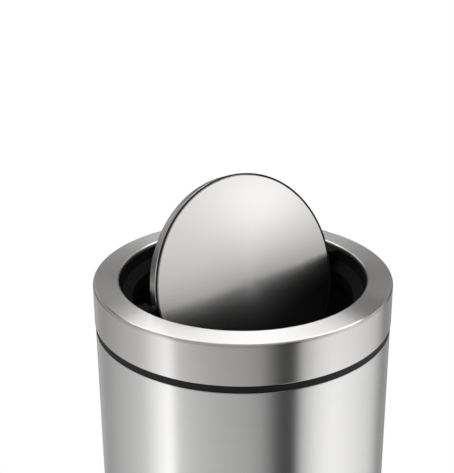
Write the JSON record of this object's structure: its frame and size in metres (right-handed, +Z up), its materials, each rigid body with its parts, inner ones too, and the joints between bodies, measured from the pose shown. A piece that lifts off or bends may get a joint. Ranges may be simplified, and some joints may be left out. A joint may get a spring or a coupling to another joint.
{
  "type": "swing-top trash can",
  "caption": "Tall round steel trash can with a lift-off collar, a dark shadow band and a round flap that swings both ways on a raised axle.",
  "frame": {"origin": "centre of the base on the floor", "axes": "+Z up, the picture's viewer looks along +Y, +X to the viewer's right"},
  "size_m": [0.355, 0.355, 0.8765],
  "materials": {
    "steel": "brushed satin stainless steel",
    "inner_steel": "dull pressed sheet",
    "black_plastic": "fine matt moulding",
    "bearing_plastic": "natural nylon",
    "rubber": "matt rubber",
    "hardware": "plain zinc-plated steel"
  },
  "bodies": {
    "can": {"base_ring": "black_plastic", "base_screw_1": "hardware", "base_screw_2": "hardware", "base_screw_3": "hardware", "body_shell": "steel", "floor_pan": "inner_steel", "foot_pad_1": "rubber", "foot_pad_2": "rubber", "foot_pad_3": "rubber", "foot_pad_4": "rubber", "foot_pad_5": "rubber", "foot_pad_6": "rubber", "rim_ring": "black_plastic"},
    "lid": {"bushing_left": "bearing_plastic", "bushing_right": "bearing_plastic", "collar_shell": "steel", "lid_frame": "black_plastic", "saddle_cap_left": "black_plastic", "saddle_cap_right": "black_plastic", "saddle_screw_left_1": "hardware", "saddle_screw_left_2": "hardware", "saddle_screw_right_1": "hardware", "saddle_screw_right_2": "hardware", "throat_ring": "black_plastic"},
    "flap": {"axle_pin_left": "hardware", "axle_pin_right": "hardware", "back_pan": "steel", "counterweight": "hardware", "edge_ring": "black_plastic", "face_plate": "steel", "flap_core": "black_plastic", "pan_screw_1": "hardware", "pan_screw_2": "hardware", "pan_screw_3": "hardware", "pan_screw_4": "hardware", "weight_screw_1": "hardware", "weight_screw_2": "hardware"}
  },
  "joints": [
    {"name": "lid_lift", "type": "slide", "parent": "can", "child": "lid", "axis": [0, 0, 1], "range_m": [0, 0.2]},
    {"name": "flap_swing", "type": "hinge", "parent": "lid", "child": "flap", "pos_m": [0, 0, 0.7502], "axis": [0.7859, 0.6184, 0], "range_deg": [-161.6, 14.4]}
  ]
}
